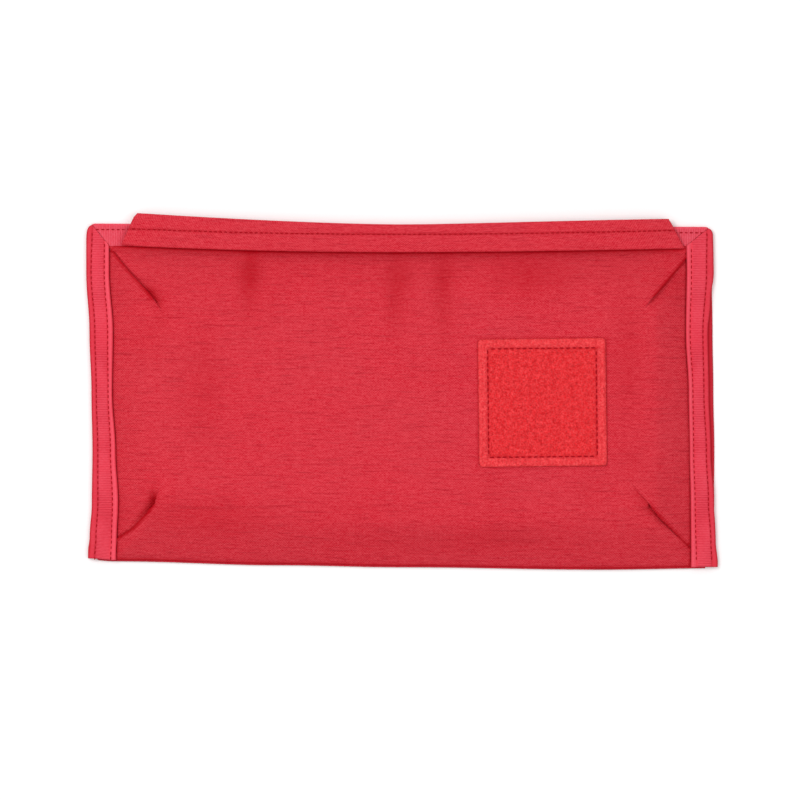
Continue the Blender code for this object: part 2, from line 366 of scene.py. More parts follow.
def front_height(x, y):
    """Top of the front cloth at a place across the pouch."""
    low_y = bottom_edge(x) + 1.2 * mm
    top_y = header_lower(x) - 1.5 * mm
    seam_x = seam_line(x, y)
    side = slope(seam_x - abs(x), seam_x - full_x, 1.32)
    bottom = slope(y - low_y, full_y - low_y)
    top = slope(top_y - y, top_y - hinge_y)
    share = lower_of(lower_of(side, bottom), top)
    seam = flange_top + (VALLEY - flange_top) * between(y, hinge_y, top_y) * min(side * 1.5, 1)
    height = seam + (front_top + 0.4 * mm - seam) * max(share, 0.0)
    height -= 0.9 * mm * (1 - between(y, low_y - 1.0 * mm, low_y + 1.4 * mm))
    height += pleat_height(x, y) * between(seam_x - abs(x), -0.5 * mm, 1.5 * mm)
    over_tape = between(y, 67.5 * mm, 70.5 * mm) * between(seam_x - abs(x), -1 * mm, 0.5 * mm)
    height = max(height, (VALLEY - 0.1 * mm) * over_tape)
    height = max(height, flange_top - 0.9 * mm * (1 - between(y, low_y - 1.0 * mm, low_y + 1.4 * mm)))
    inside = between(side, 0.1, 0.7) * between(bottom, 0.1, 0.6) * between(top, 0.0, 0.35)
    for fx, fy, wide, tall, amount in FOLDS:
        height += amount * mm * swell(x, y, (fx, fy), (wide, tall)) * inside
    rough = noise.noise(Vector((x / (34 * mm), y / (26 * mm), 3.1)))
    rough += 0.5 * noise.noise(Vector((x / (14 * mm), y / (11 * mm), 7.7)))
    rough += 0.16 * noise.noise(Vector((x / (4 * mm), y / (3 * mm), 1.3)))
    from_patch = max(abs(x - patch_x - 0.4 * mm), abs(y - patch_y))
    calm = 1 - 0.75 * between(from_patch, 46 * mm, 33 * mm)
    height += 0.42 * mm * rough * inside * calm
    over_pack = between(pack_box[1][0] + 3 * mm - abs(x), 0, 3 * mm)
    over_pack *= between(y, full_y - 2 * mm, full_y + 1 * mm)
    over_pack *= 1 - between(y, pack_box[1][1], pack_box[1][1] + 2 * mm)
    return max(height, pack_box[1][2] * over_pack + (CLOTH + 0.2 * mm) * over_pack)


def seam_shade(x, y):
    """Share of shade where the cloth meets the header, the edge tapes, the patch and the back panel."""
    seam = seam_line(x, y) - abs(x)
    header = math.exp(-(max(header_lower(x) - y, 0) / (1.2 * mm)) ** 1.4)
    header *= between(seam, -1 * mm, 3 * mm)
    tape = 0.85 * math.exp(-(seam / (0.75 * mm)) ** 2)
    patch = max(abs(x - patch_x), abs(y - patch_y)) - patch_half
    patch = 0.34 * math.exp(-(patch / (0.8 * mm)) ** 2)
    bottom = 0.9 * (1 - between(y - bottom_edge(x), 0.3 * mm, 1.3 * mm))
    return max(header, tape, patch, bottom)


# Soft shades in the cloth's shallow hollows and beside the pleats, in millimetres: centre, half sizes
# and share.
SOFT_SHADES = (
    (-123, -51, 2.6, 5.5, 0.34), (-124.5, 48.5, 2.8, 4.5, 0.30), (133, 52, 9, 10, 0.13),
    (-119, 38, 5, 9, 0.14), (128, -50, 10, 11, 0.12), (-127, 24, 8, 14, 0.12),
    (49, 58, 4, 12, 0.12), (75, 57, 9, 12, 0.15),
    (114, -34, 9, 9, 0.14), (93, -49, 7, 8, 0.14), (46, -48, 12, 8, 0.09), (50, -71, 16, 6, 0.10),
    (-73, 60, 4, 9, 0.15), (-66, 42, 4, 10, 0.13), (2, 57, 5, 11, 0.15), (22, 60, 4, 9, 0.11),
    (-33, 33, 9, 4, 0.08), (-90, -68, 22, 6, 0.08), (-20, -58, 24, 5, 0.07), (20, 8, 22, 5, 0.06),
)


def fold_shade(x, y):
    """Share of shade in the hollows of the soft folds, beside the pleats and on the sloping margins."""
    hollows = sum(-amount * swell(x, y, (fx, fy), (wide, tall))
                  for fx, fy, wide, tall, amount in FOLDS if amount < 0)
    soft = sum(share * swell(x, y, (fx, fy), (wide, tall))
               for fx, fy, wide, tall, share in SOFT_SHADES)
    margins = 0.10 * between(y, 40 * mm, 58 * mm) + 0.07 * (1 - between(y, -70 * mm, -50 * mm))
    return 0.2 * hollows + soft + margins


def paced(*runs):
    """Cut lines across a cloth, given in millimetres: each run has its start, end and step count."""
    places = [runs[0][0] * mm]
    for start, stop, count in runs:
        places += [(start + (stop - start) * (i + 1) / count) * mm for i in range(count)]
    return places


def cloth_grid(columns, rows, place, spared=None):
    """A flat cut of cloth put in place. Its UV map is the cut itself, in metres."""
    bm = bmesh.new()
    bmesh.ops.create_grid(bm, x_segments=len(columns) - 1, y_segments=len(rows) - 1, size=1)
    cut = {}
    for vertex in bm.verts:
        column = round((vertex.co.x + 1) / 2 * (len(columns) - 1))
        row = round((vertex.co.y + 1) / 2 * (len(rows) - 1))
        cut[vertex] = (columns[column], rows[row])
    laid = bm.loops.layers.uv.new("flat")
    for face in bm.faces:
        for loop in face.loops:
            loop[laid].uv = cut[loop.vert]
    if spared:
        outside = [face for face in bm.faces
                   if spared(*(sum(cut[v][i] for v in face.verts) / 4 for i in (0, 1)))]
        bmesh.ops.delete(bm, geom=outside, context="FACES")
    for vertex in bm.verts:
        vertex.co = place(*cut[vertex])
    return bm


def wall(piece, thickness, offset=0.0):
    """Gives a cloth piece its thickness."""
    solid = piece.modifiers.new("wall", "SOLIDIFY")
    solid.thickness = thickness
    solid.offset = offset
    return piece


def paint_shade(piece, share):
    """Marks how much painted shade darkens a cloth at each place, in its creases, seams and grooves."""
    marks = piece.data.attributes.new("painted_shade", "FLOAT", "POINT")
    marks.data.foreach_set("value", [share(*vertex.co) for vertex in piece.data.vertices])


def woven(name, colour, dark, pale, streaks=1.0):
    """Plain weave with slubs: thicker yarns that show as short darker dashes across the cloth."""
    pitch = 0.62 * mm
    cloth = Shader(name)
    flat = cloth.node("UVMap", {"uv_map": "flat"})
    x = cloth.node("SeparateXYZ", s0=flat)
    y = Value(cloth, x.socket.node.outputs[1])
    weave = (x * (math.pi / pitch)).sine() * (y * (math.pi / pitch)).sine()

    def grain(across, along, detail, low, high):
        stretched = cloth.node("Mapping", s0=flat, s3=(across, along, 1))
        return cloth.node("TexNoise", s0=stretched, Scale=1.0, Detail=detail, Roughness=0.6).clamp(low, high)

    slub = grain(75, 1150, 2.0, 0.53, 0.70)
    strong = grain(26, 760, 1.0, 0.58, 0.70)
    yarn = grain(900, 1500, 1.0, 0.3, 0.7)
    heather = grain(260, 900, 2.0, 0.3, 0.7)
    cloud = grain(20, 26, 2.0, 0.35, 0.65)
    shade = cloth.mix(colour, pale, yarn * 0.46 + heather * 0.36 + cloud * 0.12 + weave * 0.30)
    shade = cloth.mix(shade, dark, slub * (0.30 * streaks) + strong * (0.15 * streaks) + cloud * 0.1)
    # Painted shade: the cloth is darkened towards a deep red by the shade share marked on its vertices.
    shade = cloth.mix(shade, PAINTED_SHADE_RED, cloth.node("Attribute", {"attribute_name": "painted_shade"}, out=2))
    relief = weave * 0.5 + yarn * 0.3 + heather * 0.3 - slub * 0.3
    cloth.set(Base_Color=shade, Roughness=0.85, Specular_IOR_Level=0.06)
    cloth.set(Normal=cloth.node("Bump", Height=relief, Distance=0.16 * mm, Strength=1.0))
    return cloth.material


red_cloth = woven("red_cloth", RED, DEEP_RED, PALE_RED)
FRONT_CUT = ((-152, -147, 3), (-147, -115, 47), (-115, 115, 176), (115, 143, 43), (143, 152, 6))
FRONT_RUN = ((-88, -84, 5), (-84, -42, 58), (-42, 40, 62), (40, 73, 44))


def front_place(a, b):
    low = FRONT_RUN[0][0] * mm
    high = FRONT_RUN[-1][1] * mm
    x, y = a, bottom_edge(a) + (b - low) * (high - bottom_edge(a)) / (high - low)
    height = front_height(x, y)
    if abs(x) < 146 * mm:
        x, y = Vector((x, y)) + pleat_shift(x, y)
    return x, y, height - CLOTH / 2


LIP_LEFT = -146.9 * mm
LIP_RIGHT = 143.2 * mm


def beyond_lip(a, b):
    """The lip is narrower than the panel, and it reaches just under the edge tapes when it is shut."""
    return b > hinge_y and not LIP_LEFT < a < LIP_RIGHT


front_cloth = keep(cloth_grid(paced(*FRONT_CUT), paced(*FRONT_RUN), front_place, beyond_lip),
                   "front_cloth", red_cloth)
# Painted shade on the front cloth: along its pleats, under the header, beside the edge tapes, round the
# patch, at the bottom edge, in its soft folds and on its sloping margins.
paint_shade(front_cloth,
        lambda x, y, z: min(max(pleat_shade(x, y), seam_shade(x, y)) + fold_shade(x, y), 1))
wall(front_cloth, CLOTH)
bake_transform(front_cloth)
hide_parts("front_panel", "front_panel_lip")


# ---- Edge tapes ----
# Ribbed polyester binding tape, folded over the raw edges of both panels and sewn through with two
# rows. The side and top runs meet in a folded mitre at each top corner.
TAPE = 0.5 * mm
LEG_Z = 0.3 * mm
UPPER_Z = 3.0 * mm
FOLD_RADIUS = (UPPER_Z - LEG_Z) / 2
TOP_ROW = 2.8 * mm
TAPE_LOW = -88 * mm
SLANT_TOP = -60 * mm


def top_edge(x):
    return 83.2 * mm - 0.0055 * x


def corner_rounded(x, y):
    """Pulls a point near a top outer corner onto a rounded corner."""
    radius = 4 * mm
    side = math.copysign(1, x)
    corner_x = side_line(side, "outer", 84 * mm)
    out_x, out_y = side * x - (corner_x - radius), y - (top_edge(x) - radius)
    if out_x <= 0 or out_y <= 0:
        return x, y
    reach = max(out_x, out_y) / math.hypot(out_x, out_y)
    return side * (corner_x - radius + out_x * reach), top_edge(x) - radius + out_y * reach


def ribbed(name, colour, dark, pale, smooth_from, smooth_to):
    """Tape with fine ribs across it, smooth at its fold and at its woven selvedge."""
    tape = Shader(name)
    flat = tape.node("UVMap", {"uv_map": "flat"})
    x = tape.node("SeparateXYZ", s0=flat)
    y = Value(tape, x.socket.node.outputs[1])
    band = x.clamp(smooth_from - 0.4 * mm, smooth_from + 0.4 * mm)
    band = band * (1 - x.clamp(smooth_to - 0.4 * mm, smooth_to + 0.4 * mm))
    ribs = (y * (2 * math.pi / (0.86 * mm))).sine() * 0.5 + 0.5
    threads = tape.node("Mapping", s0=flat, s3=(700, 1400, 1))
    fine = tape.node("TexNoise", s0=threads, Scale=1.0, Detail=2.0, Roughness=0.6).clamp(0.3, 0.7)
    cloud = tape.node("TexNoise", s0=flat, Scale=60.0, Detail=2.0, Roughness=0.6).clamp(0.3, 0.7)
    worn = tape.node("TexNoise", s0=flat, Scale=45.0, Detail=1.0, Roughness=0.5).clamp(0.38, 0.6)
    # The selvedge is mixed paler: a painted highlight along the raised bead near the tape's inner edge.
    selvedge = x.clamp(smooth_to, smooth_to + 1 * mm)
    paler = fine * 0.36 + cloud * 0.25 + ribs * band * 0.4 + (1 - band) * 0.2 + selvedge * 0.35
    shade = tape.mix(colour, pale, paler)
    shade = tape.mix(shade, dark, (1 - ribs) * band * (worn * 0.34 + 0.10))
    # Painted shade: the tape is darkened towards a deep red by the shade share marked on its vertices.
    shade = tape.mix(shade, PAINTED_SHADE_RED, tape.node("Attribute", {"attribute_name": "painted_shade"}, out=2))
    relief = ribs * band + fine * 0.25
    tape.set(Base_Color=shade, Roughness=0.75, Specular_IOR_Level=0.1)
    tape.set(Normal=tape.node("Bump", Height=relief, Distance=0.16 * mm, Strength=1.0))
    return tape.material


TAPE_COLOURS = ((0.69, 0.019, 0.042, 1), (0.34, 0.002, 0.012, 1), (0.84, 0.088, 0.130, 1))
LEG_CUT = 11.4 * mm
FOLD_CUT = math.pi * FOLD_RADIUS
side_tape_ribs = ribbed("side_tape", *TAPE_COLOURS,
                        LEG_CUT + FOLD_CUT + 1.3 * mm, LEG_CUT + FOLD_CUT + 8.4 * mm)


def groove(distance, row, width=0.55 * mm):
    return math.exp(-((distance - row) / width) ** 2)


def tape_surface(side, across, along):
    """Relief of a side tape's upper leg: sewn grooves, a puffed middle and a raised selvedge."""
    outer_row, inner_row, inner = (side_line(side, name, along)
                                   for name in ("outer_row", "inner_row", "inner"))
    relief = -0.42 * groove(across, outer_row) - 0.42 * groove(across, inner_row)
    relief += 0.8 * groove(across, (inner_row + 2 * inner) / 3, (inner_row - inner) / 3.6)
    relief += 0.22 * groove(across, (outer_row + inner_row) / 2, 2.6 * mm)
    relief += 0.12 * noise.noise(Vector((across / (3 * mm), along / (5 * mm), 4.0)))
    return relief * mm


def side_tape_place(side):
    def place(a, b):
        y = b
        outer, inner, lower = (side_line(side, name, y) for name in ("outer", "inner", "lower"))
        # The right tape's lower half stands out below its upper half in the middle of its length.
        bulge = max(lower - outer, 0.0)
        if a < LEG_CUT:
            x = inner + (outer + bulge - FOLD_RADIUS - inner) * a / LEG_CUT
            z = LEG_Z
        elif a < LEG_CUT + FOLD_CUT:
            turn = (a - LEG_CUT) / FOLD_RADIUS
            x = outer - FOLD_RADIUS + FOLD_RADIUS * math.sin(turn)
            x += bulge * (1 - between(turn, 0.6, 1.4))
            x -= min(bulge, 1.2 * mm) * groove(turn, 1.6, 0.34)
            z = LEG_Z + FOLD_RADIUS * (1 - math.cos(turn))
        else:
            share = (a - LEG_CUT - FOLD_CUT) / LEG_CUT
            x = outer - FOLD_RADIUS - (outer - FOLD_RADIUS - inner) * share
            z = UPPER_Z + tape_surface(side, x, y)
        x *= side
        # Below this height the tape is stretched, so that it ends at the slanting bottom edge.
        if y < SLANT_TOP:
            floor = bottom_edge(x)
            y = floor + (y - TAPE_LOW) * (SLANT_TOP - floor) / (SLANT_TOP - TAPE_LOW)
        return *corner_rounded(x, y), z

    return place


TAPE_CUT = paced((0, 11.4, 8), (11.4, 15.6, 10), (15.6, 27, 40))
MITRES = {-1: (Vector((-152.75, 81.2, 0)) * mm, Vector((7.3, 6, 0))),
          1: (Vector((149.25, 78.5, 0)) * mm, Vector((-6, 7.5, 0)))}
NODE_OF_SIDE = {-1: "left", 1: "right"}


def mitred(bm, side, keep_inside, clearance=0.0):
    """Cuts a tape along the fold line of a top corner."""
    at, outwards = MITRES[side]
    outwards = outwards.normalized() * (1 if keep_inside else -1)
    everything = bm.verts[:] + bm.edges[:] + bm.faces[:]
    bmesh.ops.bisect_plane(bm, geom=everything, dist=1e-7, plane_co=at - outwards * clearance,
                           plane_no=outwards, clear_outer=True)


def tape_shade(x, y, z):
    """Share of shade in a side tape's sewn grooves and beside its selvedge."""
    side = -1 if x < 0 else 1
    outer, outer_row, inner_row, inner, lower = (side_line(side, name, y)
                                                 for name in SIDE_LINES[side])
    bulge = max(lower - outer, 0.0)
    if z < UPPER_Z - 0.4 * mm:
        tucked = between(z, 0.9 * mm, 1.4 * mm) * between(bulge, 0.4 * mm, 1.2 * mm)
        return 0.08 + 0.6 * between(z, 0.36 * mm, 0.6 * mm) + 0.32 * tucked
    if abs(x) > outer - 0.9 * mm:
        return 0.3 + 0.38 * between(abs(x), outer - 0.9 * mm, outer - 0.3 * mm)
    rows = 0.42 * groove(abs(x), outer_row, 0.45 * mm) + 0.26 * groove(abs(x), inner_row, 0.4 * mm)
    edges = 0.3 * between(abs(x), outer_row, outer_row + 0.6 * mm)
    return rows + edges + 0.6 * groove(abs(x), inner, 0.5 * mm)


for side, node in NODE_OF_SIDE.items():
    run = paced((-88, top_edge(side * 156 * mm) / mm, 150))
    bm = cloth_grid(TAPE_CUT, run, side_tape_place(side))
    mitred(bm, side, True)
    side_tape = keep(bm, node + "_side_tape", side_tape_ribs, "pouch")
    # Painted shade in the tape's sewn grooves, on its outer band and fold, and along its inner edge.
    paint_shade(side_tape, tape_shade)
    wall(side_tape, TAPE)
    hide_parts(node + "_binding")

top_tape_ribs = ribbed("top_tape", *TAPE_COLOURS[:2], (0.82, 0.125, 0.175, 1), 13.5 * mm, 40 * mm)


TOP_LEG_CUT = 10.4 * mm
TOP_FOLD_END = 14 * mm


def top_tape_place(a, b):
    """a runs round the tape from the lower leg's inner edge, and b along it."""
    x = b
    edge = top_edge(x)
    high = 2.1 * mm + 0.9 * mm * between(abs(x), 122 * mm, 133 * mm)
    radius = (high - LEG_Z) / 2
    if a < TOP_LEG_CUT:
        return *corner_rounded(x, edge - radius - TOP_LEG_CUT + a), LEG_Z
    if a < TOP_FOLD_END:
        turn = (a - TOP_LEG_CUT) / (TOP_FOLD_END - TOP_LEG_CUT) * math.pi
        y = edge - radius + radius * math.sin(turn)
        return *corner_rounded(x, y), LEG_Z + radius * (1 - math.cos(turn))
    y = edge - radius - (a - TOP_FOLD_END)
    relief = 0.25 * noise.noise(Vector((x / (4 * mm), y / (4 * mm), 9.0)))
    relief -= 0.3 * groove(edge - y, TOP_ROW)
    return *corner_rounded(x, y), high + relief * mm * between(abs(x), 122 * mm, 128 * mm)


bm = cloth_grid(paced((0, 10.4, 7), (10.4, 14, 9), (14, 25, 26)),
                paced((-157, -124, 60), (-124, 124, 60), (124, 157, 60)), top_tape_place)
mitred(bm, -1, False, 0.12 * mm)
mitred(bm, 1, False, 0.12 * mm)
top_tape = wall(keep(bm, "top_tape", top_tape_ribs, "pouch"), TAPE)
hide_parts("top_binding")


# ---- Header strip ----
# The hem of the mouth: the same cloth folded into a flat tube along the lip's edge and sewn through
# near its top. Its ends are cut on a slant. It carries the hook tape on its underside.
HEADER_THICK = 2.1 * mm
HEADER_HALF = 140.5 * mm
HEADER_RUN = paced((0, 15, 8), (15, 17.8, 8), (17.8, 32.8, 44), (32.8, 34.2, 5))
UNDERSIDE_END = 15 * mm
LOWER_FOLD_END = 17.8 * mm
TOPSIDE_END = 32.8 * mm


def header_stitch(x):
    share = x / (140 * mm)
    return (78.7 + (2.55 - 0.5 * share) * share * share) * mm


def header_upper(x):
    share = x / (133 * mm)
    return (83.25 + (4.75 - 1.5 * share) * (share * share + 0.02) ** 0.6) * mm


def header_top(x, y):
    """Relief of the header's top: a rounded lower band, the sewn groove and a thinner upper band."""
    row = header_stitch(x)
    high = HEADER_THICK - 0.35 * mm * between(y, row - 1 * mm, row + 2 * mm)
    high -= 0.55 * mm * groove(y, row, 0.7 * mm)
    high -= 0.25 * mm * groove(y, header_lower(x) + 2.6 * mm, 1.2 * mm)
    high -= 0.5 * mm * between(y, header_upper(x) - 3 * mm, header_upper(x))
    band = noise.noise(Vector((x / (9 * mm), y / (8 * mm), 2.2)))
    band += 0.5 * noise.noise(Vector((x / (3.5 * mm), y / (5 * mm), 5.0)))
    return high + 0.32 * mm * band * between(y, header_lower(x), header_lower(x) + 3 * mm)


def header_droop(x):
    return 1.0 * mm * between(abs(x), 121 * mm, 138 * mm)


def header_place(a, b):
    """a runs along the mouth and b round the tube, from the top edge down its underside."""
    def spot(share):
        rounding = mm * (max(share - 0.85, 0) / 0.15) ** 2
        left = -140.4 * mm + 7.6 * mm * share + 1.8 * rounding
        right = 141.6 * mm - 8 * mm * share - 0.6 * rounding
        x = left + (right - left) * (a / HEADER_HALF + 1) / 2
        return x, header_lower(x) + (header_upper(x) - header_lower(x)) * share

    end = 1 - 0.35 * between(abs(a), 136 * mm, HEADER_HALF)
    base = header_bottom + 0.05 * mm
    if b < UNDERSIDE_END:
        x, y = spot(0.96 - 0.9 * b / UNDERSIDE_END)
        z = 0.0
    elif b < LOWER_FOLD_END:
        turn = (b - UNDERSIDE_END) / (2.8 * mm) * math.pi
        x, y = spot(0.06)
        y -= 0.9 * mm * math.sin(turn)
        z = header_top(x, y) * (1 - math.cos(turn)) / 2
    elif b <= TOPSIDE_END:
        x, y = spot(0.06 + 0.9 * (b - LOWER_FOLD_END) / (15 * mm))
        z = header_top(x, y)
    else:
        turn = (b - TOPSIDE_END) / (1.4 * mm) * math.pi
        x, y = spot(0.96)
        y += 0.6 * mm * math.sin(turn)
        z = header_top(x, y) * (1 + math.cos(turn)) / 2
    return x, y, base + z * end - header_droop(x)


header_cloth = woven("header_cloth", RED, DEEP_RED, PALE_RED, streaks=0.9)
bm = cloth_grid(paced((-140.5, 140.5, 240)), HEADER_RUN, header_place)
bmesh.ops.remove_doubles(bm, verts=bm.verts[:], dist=0.01 * mm)
bmesh.ops.holes_fill(bm, edges=[edge for edge in bm.edges if edge.is_boundary], sides=0)
bmesh.ops.recalc_face_normals(bm, faces=bm.faces[:])
header = keep(bm, "header", header_cloth, "lip")
# Painted shade along the header's sewn groove and round its lower fold.
paint_shade(header, lambda x, y, z: (0.4 * groove(y, header_stitch(x), 0.5 * mm)
                                 + 0.3 * groove(y, header_lower(x) - 0.5 * mm, 0.7 * mm)))
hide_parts("header_strip")


# ---- Loop patch ----
# A square of loop pile for a badge, sewn on the front near its right end. Its pile stands highest
# inside the square of stitches, and its edge is a paler flat border.
PATCH_TURN = math.radians(0.7)
PATCH_ROW = patch_half - 4.8 * mm
PATCH_BASE = 1.5 * mm


def patch_place(a, b):
    """A place on the patch, from its own middle, with its corners rounded."""
    reach = patch_half - 2.2 * mm
    out_x, out_y = abs(a) - reach, abs(b) - reach
    if out_x > 0 and out_y > 0:
        pull = max(out_x, out_y) / math.hypot(out_x, out_y)
        a, b = math.copysign(reach + out_x * pull, a), math.copysign(reach + out_y * pull, b)
    x = patch_x + a * math.cos(PATCH_TURN) - b * math.sin(PATCH_TURN)
    y = patch_y + a * math.sin(PATCH_TURN) + b * math.cos(PATCH_TURN)
    edge = max(abs(a), abs(b))
    rounded = max(1 - between(edge, patch_half - 1.2 * mm, patch_half + 0.2 * mm), 0)
    rise = PATCH_BASE * (0.35 + 0.65 * math.sqrt(rounded))
    rise -= 0.45 * mm * groove(edge, PATCH_ROW, 0.6 * mm)
    rise += 0.16 * mm * noise.noise(Vector((a / (1.1 * mm), b / (1.1 * mm), 6.0)))
    return x, y, front_height(x, y) + rise


def pile(name, colour, dark, pale):
    """Brushed loop pile: mottled, matt and soft."""
    fluff = Shader(name)
    flat = fluff.node("TexCoord", out=3)
    mottle = fluff.node("TexNoise", s0=flat, Scale=430.0, Detail=3.0, Roughness=0.65).clamp(0.36, 0.64)
    fine = fluff.node("TexNoise", s0=flat, Scale=1200.0, Detail=2.0, Roughness=0.6).clamp(0.32, 0.68)
    shade = fluff.mix(colour, pale, fine * 0.68)
    shade = fluff.mix(shade, dark, mottle * 0.54)
    # Painted shade: the pile is darkened towards a deep red by the shade share marked on its vertices.
    shade = fluff.mix(shade, PAINTED_SHADE_RED, fluff.node("Attribute", {"attribute_name": "painted_shade"}, out=2))
    fluff.set(Base_Color=shade, Roughness=0.95, Specular_IOR_Level=0.1)
    fluff.set(Normal=fluff.node("Bump", Height=fine + mottle, Distance=0.25 * mm, Strength=1.0))
    return fluff.material


patch_field = pile("patch_field", (0.84, 0.021, 0.028, 1), (0.58, 0.006, 0.011, 1), (0.92, 0.10, 0.11, 1))
patch_edge = pile("patch_edge", (0.84, 0.032, 0.043, 1), (0.60, 0.012, 0.020, 1), (0.94, 0.13, 0.135, 1))
patch_cut = paced((-31.75, 31.75, 120))
patch = keep(cloth_grid(patch_cut, patch_cut, patch_place), "patch", patch_field)
patch.data.materials.append(patch_edge)
half_cell = 0.26 * mm
for polygon in patch.data.polygons:
    row, column = divmod(polygon.index, len(patch_cut) - 1)
    if max(abs(patch_cut[row] + half_cell), abs(patch_cut[column] + half_cell)) > PATCH_ROW:
        polygon.material_index = 1
# Painted shade in a groove along the square of stitches round the patch.
paint_shade(patch, lambda x, y, z:
        0.45 * groove(max(abs(x - patch_x), abs(y - patch_y)), PATCH_ROW, 0.7 * mm))
wall(patch, PATCH_BASE, offset=-1.0)
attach(patch, "pouch")
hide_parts("loop_patch")

loop_bm = bmesh.new()
ring = bmesh.ops.create_circle(loop_bm, segments=3, radius=0.09 * mm, cap_ends=False)["verts"]
bmesh.ops.translate(loop_bm, verts=ring, vec=(0.34 * mm, 0, 0))
bmesh.ops.spin(loop_bm, geom=loop_bm.verts[:] + loop_bm.edges[:], cent=(0, 0, 0), axis=(0, -1, 0),
               angle=math.pi, steps=5, use_merge=False)
one_loop = bpy.data.meshes.new("one_loop")
loop_bm.to_mesh(one_loop)
loop_bm.free()


def scattered(bm, shape, matrix):
    """Adds one more copy of a small shape."""
    copy = shape.copy()
    copy.transform(matrix)
    bm.from_mesh(copy)
    bpy.data.meshes.remove(copy)


stray = random.Random(12)


def loops_over(spots, place, height):
    """A pile of small loops at the spots, each turned and leant its own way."""
    bm = bmesh.new()
    for a, b in spots:
        turn = Matrix.Rotation(stray.uniform(0, 6.3), 4, "Z")
        turn = turn @ Matrix.Rotation(stray.uniform(-0.8, 0.8), 4, "X")
        size = stray.uniform(0.7, 1.4)
        scale = Matrix.Diagonal((size, size, size * height, 1))
        scattered(bm, one_loop, Matrix.Translation(place(a, b)) @ turn @ scale)
    return bm


LOOP_ROWS = 66
LOOP_PITCH = 0.95
LOOP_MIDDLE = (LOOP_ROWS - 1) / 2
patch_spots = []
for row in range(LOOP_ROWS):
    for column in range(LOOP_ROWS):
        a = ((column - LOOP_MIDDLE) * LOOP_PITCH + stray.uniform(-0.45, 0.45)) * mm
        b = ((row - LOOP_MIDDLE) * LOOP_PITCH + stray.uniform(-0.45, 0.45)) * mm
        edge = max(abs(a), abs(b))
        if edge < PATCH_ROW - 0.7 * mm or PATCH_ROW + 0.8 * mm < edge < patch_half - 0.5 * mm and column % 2:
            patch_spots.append((a, b))
for name, material, inside in (("patch_pile", patch_field, True),
                               ("patch_border_pile", patch_edge, False)):
    spots = [spot for spot in patch_spots if (max(abs(spot[0]), abs(spot[1])) < PATCH_ROW) == inside]
    fluff = keep(loops_over(spots, patch_place, 0.9 if inside else 0.55), name, material, "pouch")


# ---- Sewing thread ----
# Dark red polyester lockstitch in short dashes: two rows down each side tape, one along the header,
# one round the patch and short ones at the top corners.
thread = Shader("thread")
twist = thread.node("TexNoise", s0=thread.node("TexCoord", out=3), Scale=2500.0, Detail=1.0, Roughness=0.5)
thread_red = thread.mix((0.30, 0.0004, 0.005, 1), (0.42, 0.001, 0.009, 1), twist.clamp(0.35, 0.65))
thread.set(Base_Color=thread_red, Roughness=0.7, Specular_IOR_Level=0.1)

stitch_bm = bmesh.new()
bmesh.ops.create_uvsphere(stitch_bm, u_segments=6, v_segments=5, radius=1,
                          matrix=Matrix.Rotation(math.pi / 2, 4, "Y"))
one_stitch = bpy.data.meshes.new("one_stitch")
stitch_bm.to_mesh(one_stitch)
stitch_bm.free()


def sewn(name, lines, pitch, height, body, length=0.68, thick=0.36 * mm):
    """Rows of stitches along lines of (x, y) places, laid on a surface of the given height."""
    bm = bmesh.new()
    count = 0
    for line in lines:
        left = pitch / 2
        for start, stop in zip(line, line[1:]):
            run = Vector(stop) - Vector(start)
            while left < run.length:
                x, y = Vector(start) + run * left / run.length
                ahead = Vector((x, y)) + run.normalized() * pitch / 4
                behind = Vector((x, y)) - run.normalized() * pitch / 4
                lean = math.atan2(height(*ahead) - height(*behind), pitch / 2)
                turn = Matrix.Rotation(math.atan2(run.y, run.x) + 0.09 * math.sin(3.7 * count), 4, "Z")
                size = Matrix.Diagonal((pitch * length / 2, thick, thick * 0.8, 1))
                place = Matrix.Translation((x, y, height(x, y)))
                scattered(bm, one_stitch, place @ turn @ Matrix.Rotation(-lean, 4, "Y") @ size)
                count += 1
                left += pitch * (1 + 0.06 * math.sin(2.3 * count))
            left -= run.length
    keep(bm, name, thread.material, body)


def tape_top(x, y):
    return UPPER_Z + TAPE / 2 + tape_surface(-1 if x < 0 else 1, abs(x), y) + 0.04 * mm


for side, node in NODE_OF_SIDE.items():
    lines = []
    for row, top in (("outer_row", 80.6 if side < 0 else 79), ("inner_row", 74.5 if side < 0 else 73)):
        places = [(-84.5 + (top + 84.5) * i / 60) * mm for i in range(61)]
        lines.append([(side * side_line(side, row, y), y) for y in places])
    sewn(node + "_tape_stitches", lines, 2.7 * mm, tape_top, "pouch")

corner_rows = [
    [(x * mm, top_edge(x * mm) - TOP_ROW) for x in (-153.4, -149, -144, -139, -134, -128)],
    [(x * mm, top_edge(x * mm) - TOP_ROW) for x in (128, 134, 140, 146, 151.5)],
    [(136.6 * mm, 80 * mm), (141.6 * mm, 72.6 * mm)],
]
sewn("corner_stitches", corner_rows, 2.6 * mm,
     lambda x, y: 3.0 * mm + TAPE / 2 - 0.2 * mm, "pouch", thick=0.33 * mm)
header_row = [[(x * mm, header_stitch(x * mm)) for x in range(-135, 136, 5)]]
sewn("header_stitches", header_row, 2.55 * mm,
     lambda x, y: header_bottom + 0.09 * mm + header_top(x, y) - header_droop(x), "lip")


def patch_square():
    turned = []
    for a, b in ((-1, -1), (1, -1), (1, 1), (-1, 1), (-1, -1)):
        turned.append(patch_place(a * PATCH_ROW, b * PATCH_ROW)[:2])
    return [turned[i:i + 2] for i in range(4)]


sewn("patch_stitches", patch_square(), 3.1 * mm,
     lambda x, y: front_height(x, y) + PATCH_BASE - 0.33 * mm, "pouch", length=0.70, thick=0.40 * mm)


